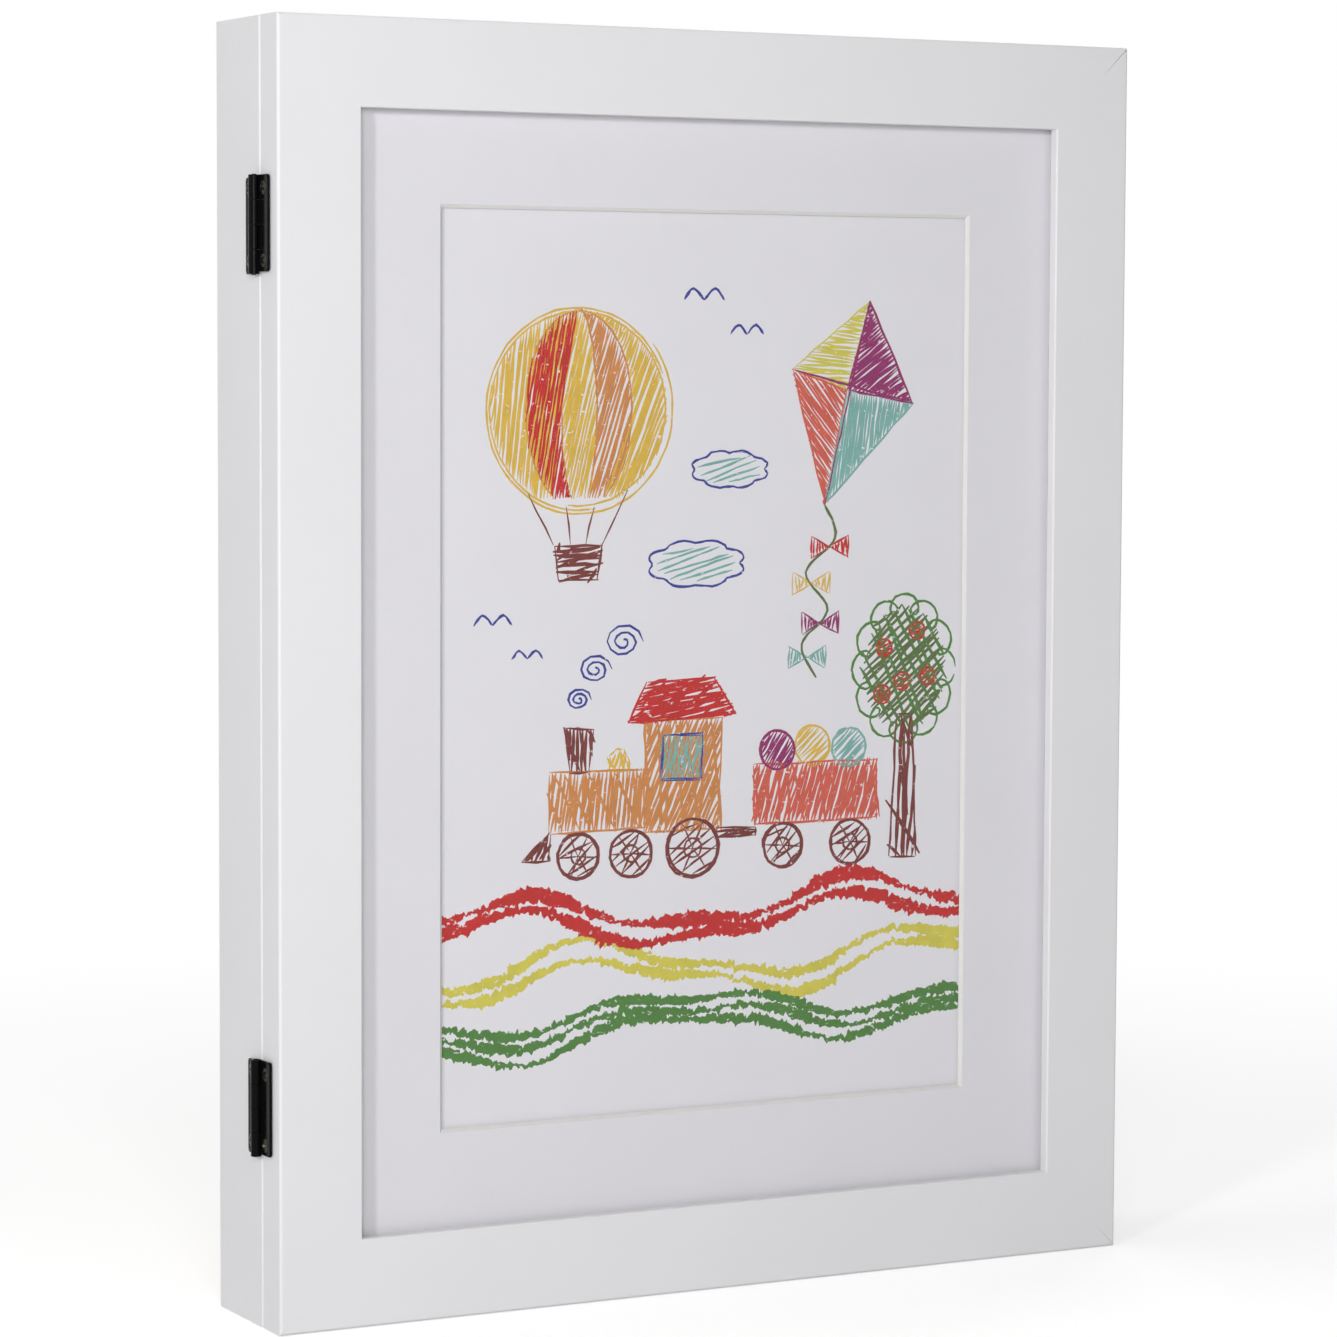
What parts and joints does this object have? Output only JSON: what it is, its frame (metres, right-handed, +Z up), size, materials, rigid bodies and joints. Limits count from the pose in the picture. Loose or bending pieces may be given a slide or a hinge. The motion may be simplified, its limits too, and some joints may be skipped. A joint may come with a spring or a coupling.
{
  "type": "picture frame",
  "caption": "Upright storage picture frame: a glazed, matted door on two butt hinges closes a shallow case with elastic straps.",
  "frame": {"origin": "bottom face of the case, at the middle of the frame's width and depth", "axes": "+Z up, +Y to the back and the wall, +X to the right seen from the front, the door faces -Y"},
  "size_m": [0.2571, 0.041, 0.335],
  "materials": {
    "white_foil": "fibreboard moulding wrapped in white foil with a faint grain, satin",
    "white_case": "fibreboard wrapped in white foil, satin",
    "clear_pane": "clear glossy pane",
    "mat_paper": "matt white mat board with a cream bevelled core",
    "drawing_paper": "matt white drawing paper with a crayon drawing",
    "white_board": "white faced hardboard, matt",
    "brown_board": "raw brown hardboard, smooth side out",
    "black_metal": "black lacquered steel, semi gloss",
    "black_plastic": "black moulded plastic",
    "black_liner": "black felted liner",
    "black_elastic": "black woven elastic",
    "zinc_steel": "zinc plated steel",
    "nickel_magnet": "nickel plated magnet"
  },
  "bodies": {
    "case": {"back_panel": "brown_board", "case_bottom": "white_case", "case_left_side": "white_case", "case_right_side": "white_case", "case_top": "white_case", "catch_magnet": "nickel_magnet", "hanger_screw_left": "zinc_steel", "hanger_screw_right": "zinc_steel", "lower_hinge_case_leaf": "black_metal", "lower_hinge_case_screw_1": "black_metal", "lower_hinge_case_screw_2": "black_metal", "lower_hinge_pin": "black_metal", "lower_strap": "black_elastic", "sawtooth_hanger": "zinc_steel", "store_liner": "black_liner", "upper_hinge_case_leaf": "black_metal", "upper_hinge_case_screw_1": "black_metal", "upper_hinge_case_screw_2": "black_metal", "upper_hinge_pin": "black_metal", "upper_strap": "black_elastic"},
    "door": {"artwork_sheet": "drawing_paper", "backing_board": "white_board", "button_screw_bottom": "black_metal", "button_screw_left_lower": "black_metal", "button_screw_left_upper": "black_metal", "button_screw_right_lower": "black_metal", "button_screw_right_upper": "black_metal", "button_screw_top": "black_metal", "corner_nail_bottom_left": "zinc_steel", "corner_nail_bottom_right": "zinc_steel", "corner_nail_top_left": "zinc_steel", "corner_nail_top_right": "zinc_steel", "door_bottom_rail": "white_foil", "door_left_stile": "white_foil", "door_right_stile": "white_foil", "door_top_rail": "white_foil", "glazing_pane": "clear_pane", "lower_hinge_door_leaf": "black_metal", "lower_hinge_door_screw_1": "black_metal", "lower_hinge_door_screw_2": "black_metal", "mat_board": "mat_paper", "strike_stud": "zinc_steel", "upper_hinge_door_leaf": "black_metal", "upper_hinge_door_screw_1": "black_metal", "upper_hinge_door_screw_2": "black_metal"},
    "button_top": {"turn_button_top": "black_plastic"},
    "button_right_upper": {"turn_button_right_upper": "black_plastic"},
    "button_right_lower": {"turn_button_right_lower": "black_plastic"},
    "button_bottom": {"turn_button_bottom": "black_plastic"},
    "button_left_lower": {"turn_button_left_lower": "black_plastic"},
    "button_left_upper": {"turn_button_left_upper": "black_plastic"}
  },
  "joints": [
    {"name": "door_hinge", "type": "hinge", "parent": "case", "child": "door", "pos_m": [-0.1287, -0.00905, 0.1675], "axis": [0, 0, -1], "range_deg": [0, 180]},
    {"name": "turn_top", "type": "hinge", "parent": "door", "child": "button_top", "pos_m": [0, -0.0083, 0.3194], "axis": [0, 1, 0], "range_deg": [-90, 90]},
    {"name": "turn_right_upper", "type": "hinge", "parent": "door", "child": "button_right_upper", "pos_m": [0.1114, -0.0083, 0.2546], "axis": [0, 1, 0], "range_deg": [-90, 90]},
    {"name": "turn_right_lower", "type": "hinge", "parent": "door", "child": "button_right_lower", "pos_m": [0.1114, -0.0083, 0.0871], "axis": [0, 1, 0], "range_deg": [-90, 90]},
    {"name": "turn_bottom", "type": "hinge", "parent": "door", "child": "button_bottom", "pos_m": [0, -0.0083, 0.0156], "axis": [0, 1, 0], "range_deg": [-90, 90]},
    {"name": "turn_left_lower", "type": "hinge", "parent": "door", "child": "button_left_lower", "pos_m": [-0.1114, -0.0083, 0.0871], "axis": [0, 1, 0], "range_deg": [-90, 90]},
    {"name": "turn_left_upper", "type": "hinge", "parent": "door", "child": "button_left_upper", "pos_m": [-0.1114, -0.0083, 0.2546], "axis": [0, 1, 0], "range_deg": [-90, 90]}
  ]
}
